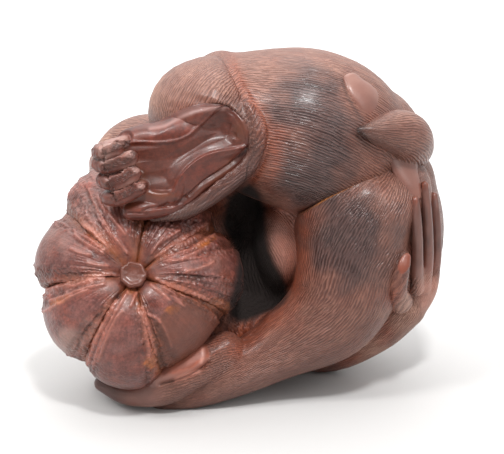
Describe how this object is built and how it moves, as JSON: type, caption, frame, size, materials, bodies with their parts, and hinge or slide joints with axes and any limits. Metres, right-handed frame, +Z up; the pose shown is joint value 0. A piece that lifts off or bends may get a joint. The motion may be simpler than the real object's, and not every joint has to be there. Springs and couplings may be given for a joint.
{
  "type": "okimono carving",
  "caption": "Small wooden okimono of a monkey curled into a ball round a lobed pumpkin, one foot over it, one hand on its rump, with carved fur and bare sole.",
  "frame": {"origin": "centre of the bounding box on the plane of the flats that the carving rests on", "axes": "+Z up, +X towards the rump along the length, -Y towards the side that shows the pumpkin's face and the sole"},
  "size_m": [0.06, 0.044, 0.0508],
  "materials": {
    "stained_wood": "hand-carved hard wood, stained reddish brown, polished bare skin and finely cut fur"
  },
  "bodies": {
    "root": {"monkey_with_pumpkin": "stained_wood"}
  },
  "joints": []
}
